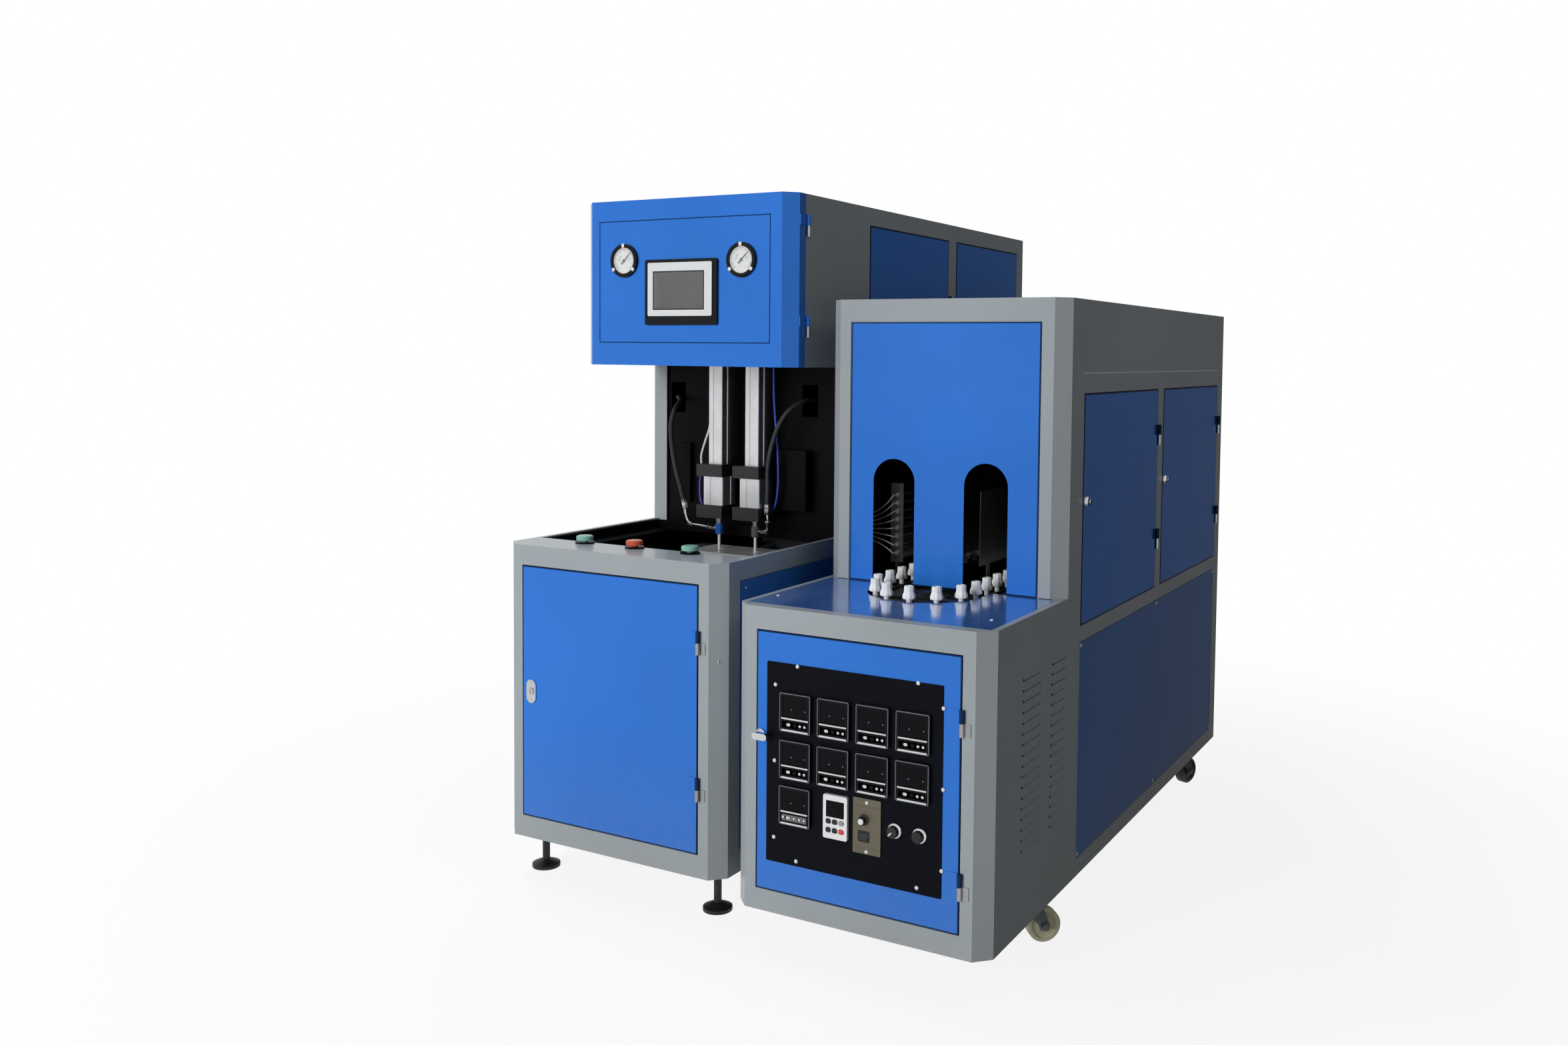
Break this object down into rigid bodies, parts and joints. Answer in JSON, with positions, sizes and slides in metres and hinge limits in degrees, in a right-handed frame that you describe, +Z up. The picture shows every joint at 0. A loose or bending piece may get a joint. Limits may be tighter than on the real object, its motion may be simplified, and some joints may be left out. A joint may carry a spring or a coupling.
{
  "type": "bottle blowing machine",
  "caption": "Twin-station stretch-blow bottle machine: blowing cabinet with head, table and mould clamp, beside an infrared preform-heating cabinet with a seat chain.",
  "frame": {"origin": "on the floor, at the middle of the two cabinets' overall rectangle", "axes": "+X to the operator's right, from the blowing cabinet to the heating cabinet; +Y away from the operator; +Z up"},
  "size_m": [1.32, 1.823, 1.654],
  "materials": {
    "grey_paint": "semi-gloss grey enamel on folded steel sheet",
    "blue_paint": "gloss blue enamel on steel sheet",
    "deck_paint": "high-gloss blue enamel",
    "black_steel": "satin black steel",
    "seat_plastic": "turned white engineering plastic",
    "lamp_ceramic": "white ceramic caps on clear quartz tubes",
    "wire_sleeve": "woven glass sleeve",
    "bright_aluminium": "bright rolled reflector sheet",
    "panel_black": "satin black",
    "meter_plastic": "fine-textured black plastic",
    "keypad_plastic": "white moulded plastic",
    "bronze_plastic": "bronze anodised plate",
    "bright_chrome": "polished",
    "knob_plastic": "black moulded plastic",
    "zinc_steel": "zinc-plated pressed steel",
    "wheel_nylon": "cream nylon, dulled by the floor",
    "anodised_aluminium": "clear anodised extrusion",
    "gauge_enamel": "white enamelled dial in a black case",
    "needle_black": "black needle",
    "green_plastic": "moulded green plastic",
    "red_plastic": "moulded red plastic",
    "nozzle_paint": "blue anodised left nozzle, clear anodised right nozzle",
    "hose_rubber": "black air hose with nickel-plated pipe ends",
    "mould_aluminium": "fine-milled aluminium",
    "cast_grey": "dark grey machine enamel",
    "gear_steel": "hobbed steel, oiled"
  },
  "bodies": {
    "machine": {"heater_cabinet": "grey_paint", "heater_hood": "grey_paint", "heater_front_panel": "blue_paint", "deck_plate": "deck_paint", "side_panels": "blue_paint", "chain_guide": "black_steel", "preform_chain": "black_steel", "preform_seats": "seat_plastic", "chain_drive": "black_steel", "lamps": "lamp_ceramic", "lamp_wires": "wire_sleeve", "reflectors": "bright_aluminium", "blow_cabinet": "grey_paint", "blow_tower": "grey_paint", "levelling_feet": "black_steel", "hinge_pins": "bright_chrome", "cylinder_barrels": "anodised_aluminium", "cylinder_blocks": "black_steel", "blow_hoses": "hose_rubber"},
    "door_handle": {"door_handle": "bright_chrome"},
    "speed_knob": {"speed_knob": "knob_plastic"},
    "rocker_switch": {"rocker_switch": "knob_plastic"},
    "knob_left": {"knob_left": "knob_plastic"},
    "knob_right": {"knob_right": "knob_plastic"},
    "heater_door_front": {"heater_door_front": "blue_paint"},
    "heater_door_rear": {"heater_door_rear": "blue_paint"},
    "blow_front_door": {"blow_front_door": "blue_paint"},
    "front_door_lock": {"front_door_lock": "bright_chrome"},
    "tower_door_front": {"tower_door_front": "blue_paint"},
    "tower_door_rear": {"tower_door_rear": "blue_paint"},
    "green_button_left": {"green_button_left": "green_plastic"},
    "red_button": {"red_button": "red_plastic"},
    "green_button_right": {"green_button_right": "green_plastic"},
    "gauge_needle_left": {"gauge_needle_left": "needle_black"},
    "gauge_needle_right": {"gauge_needle_right": "needle_black"},
    "stretch_rods": {"stretch_rods": "bright_chrome"},
    "sync_pinion": {"sync_pinion": "gear_steel"},
    "castor_fork_fl": {"castor_fork_fl": "zinc_steel"},
    "castor_fork_fr": {"castor_fork_fr": "zinc_steel"},
    "castor_fork_rl": {"castor_fork_rl": "zinc_steel"},
    "castor_fork_rr": {"castor_fork_rr": "zinc_steel"},
    "castor_wheel_fl": {"castor_wheel_fl": "wheel_nylon"},
    "castor_wheel_fr": {"castor_wheel_fr": "wheel_nylon"},
    "castor_wheel_rl": {"castor_wheel_rl": "wheel_nylon"},
    "castor_wheel_rr": {"castor_wheel_rr": "wheel_nylon"},
    "control_door_set": {"control_door": "blue_paint", "control_panel": "panel_black", "temp_controllers": "meter_plastic", "keypad": "keypad_plastic", "speed_unit": "bronze_plastic"},
    "head_door_set": {"head_door": "blue_paint", "touch_panel": "panel_black", "pressure_gauges": "gauge_enamel"},
    "seal_heads": {"seal_nozzles": "nozzle_paint"},
    "front_clamp": {"platen_front": "black_steel", "mould_front": "mould_aluminium", "tie_bars": "bright_chrome", "clamp_cylinder": "cast_grey"},
    "rear_clamp": {"platen_rear": "black_steel", "mould_rear": "mould_aluminium"}
  },
  "joints": [
    {"name": "control_door_hinge", "type": "hinge", "parent": "machine", "child": "control_door_set", "pos_m": [0.588, -0.891, 0.4], "axis": [0, 0, 1], "range_deg": [0, 110]},
    {"name": "door_handle_turn", "type": "hinge", "parent": "control_door_set", "child": "door_handle", "pos_m": [0.128, -0.8855, 0.478], "axis": [0, 1, 0], "range_deg": [0, 90]},
    {"name": "speed_knob_turn", "type": "hinge", "parent": "control_door_set", "child": "speed_knob", "pos_m": [0.377, -0.8855, 0.34], "axis": [0, 1, 0], "range_deg": [-135, 135]},
    {"name": "rocker_tip", "type": "hinge", "parent": "control_door_set", "child": "rocker_switch", "pos_m": [0.377, -0.8895, 0.306], "axis": [1, 0, 0], "range_deg": [0, 15]},
    {"name": "knob_left_turn", "type": "hinge", "parent": "control_door_set", "child": "knob_left", "pos_m": [0.446, -0.8855, 0.33], "axis": [0, 1, 0], "range_deg": [-135, 135]},
    {"name": "knob_right_turn", "type": "hinge", "parent": "control_door_set", "child": "knob_right", "pos_m": [0.501, -0.8855, 0.33], "axis": [0, 1, 0], "range_deg": [-135, 135]},
    {"name": "heater_door_front_hinge", "type": "hinge", "parent": "machine", "child": "heater_door_front", "pos_m": [0.6515, 0.1965, 0.9], "axis": [0, 0, 1], "range_deg": [0, 100]},
    {"name": "heater_door_rear_hinge", "type": "hinge", "parent": "machine", "child": "heater_door_rear", "pos_m": [0.6515, 0.8275, 0.9], "axis": [0, 0, 1], "range_deg": [0, 100]},
    {"name": "castor_swivel_fl", "type": "hinge", "parent": "machine", "child": "castor_fork_fl", "pos_m": [0.106, -0.5335, 0.1], "axis": [0, 0, 1], "continuous": true},
    {"name": "castor_roll_fl", "type": "hinge", "parent": "castor_fork_fl", "child": "castor_wheel_fl", "pos_m": [0.12898, -0.51422, 0.0375], "axis": [-0.6428, 0.766, 0], "continuous": true},
    {"name": "castor_swivel_fr", "type": "hinge", "parent": "machine", "child": "castor_fork_fr", "pos_m": [0.596, -0.5335, 0.1], "axis": [0, 0, 1], "continuous": true},
    {"name": "castor_roll_fr", "type": "hinge", "parent": "castor_fork_fr", "child": "castor_wheel_fr", "pos_m": [0.61898, -0.51422, 0.0375], "axis": [-0.6428, 0.766, 0], "continuous": true},
    {"name": "castor_swivel_rl", "type": "hinge", "parent": "machine", "child": "castor_fork_rl", "pos_m": [0.106, 0.6845, 0.1], "axis": [0, 0, 1], "continuous": true},
    {"name": "castor_roll_rl", "type": "hinge", "parent": "castor_fork_rl", "child": "castor_wheel_rl", "pos_m": [0.11626, 0.71269, 0.0375], "axis": [-0.9397, 0.342, 0], "continuous": true},
    {"name": "castor_swivel_rr", "type": "hinge", "parent": "machine", "child": "castor_fork_rr", "pos_m": [0.596, 0.6845, 0.1], "axis": [0, 0, 1], "continuous": true},
    {"name": "castor_roll_rr", "type": "hinge", "parent": "castor_fork_rr", "child": "castor_wheel_rr", "pos_m": [0.60626, 0.71269, 0.0375], "axis": [-0.9397, 0.342, 0], "continuous": true},
    {"name": "head_door_hinge", "type": "hinge", "parent": "machine", "child": "head_door_set", "pos_m": [-0.0195, -0.4665, 1.44], "axis": [0, 0, 1], "range_deg": [0, 95]},
    {"name": "gauge_left_sweep", "type": "hinge", "parent": "head_door_set", "child": "gauge_needle_left", "pos_m": [-0.523, -0.5335, 1.503], "axis": [0, 1, 0], "range_deg": [-180, 90]},
    {"name": "gauge_right_sweep", "type": "hinge", "parent": "head_door_set", "child": "gauge_needle_right", "pos_m": [-0.168, -0.5335, 1.497], "axis": [0, 1, 0], "range_deg": [-180, 90]},
    {"name": "blow_front_door_hinge", "type": "hinge", "parent": "machine", "child": "blow_front_door", "pos_m": [-0.083, -0.822, 0.45], "axis": [0, 0, 1], "range_deg": [0, 95]},
    {"name": "front_lock_turn", "type": "hinge", "parent": "blow_front_door", "child": "front_door_lock", "pos_m": [-0.571, -0.8165, 0.459], "axis": [0, 1, 0], "range_deg": [0, 90]},
    {"name": "tower_door_front_hinge", "type": "hinge", "parent": "machine", "child": "tower_door_front", "pos_m": [-0.0195, 0.3365, 1.2], "axis": [0, 0, 1], "range_deg": [0, 6]},
    {"name": "tower_door_rear_hinge", "type": "hinge", "parent": "machine", "child": "tower_door_rear", "pos_m": [-0.0195, 0.8605, 1.2], "axis": [0, 0, 1], "range_deg": [0, 6]},
    {"name": "green_button_left_press", "type": "slide", "parent": "machine", "child": "green_button_left", "axis": [0, 0, -1], "range_m": [0, 0.004], "stiffness_N_per_m": 1000, "springref_m": -0.004},
    {"name": "red_button_press", "type": "slide", "parent": "machine", "child": "red_button", "axis": [0, 0, -1], "range_m": [0, 0.004], "stiffness_N_per_m": 1000, "springref_m": -0.004},
    {"name": "green_button_right_press", "type": "slide", "parent": "machine", "child": "green_button_right", "axis": [0, 0, -1], "range_m": [0, 0.004], "stiffness_N_per_m": 1000, "springref_m": -0.004},
    {"name": "seal_stroke", "type": "slide", "parent": "machine", "child": "seal_heads", "axis": [0, 0, -1], "range_m": [0, 0.025]},
    {"name": "stretch_stroke", "type": "slide", "parent": "machine", "child": "stretch_rods", "axis": [0, 0, -1], "range_m": [0, 0.21]},
    {"name": "rear_mould_travel", "type": "slide", "parent": "machine", "child": "rear_clamp", "axis": [0, 1, 0], "range_m": [0, 0.06]},
    {"name": "front_mould_travel", "type": "slide", "parent": "machine", "child": "front_clamp", "axis": [0, -1, 0], "range_m": [0, 0.06]},
    {"name": "sync_pinion_turn", "type": "hinge", "parent": "machine", "child": "sync_pinion", "pos_m": [-0.3425, -0.2855, 0.46], "axis": [0, 0, 1], "range_deg": [-115, 0]}
  ],
  "couplings": [
    {"joint": "front_mould_travel", "follows": "rear_mould_travel", "ratio": 1},
    {"joint": "sync_pinion_turn", "follows": "rear_mould_travel", "rad_per_m": -33.333}
  ]
}
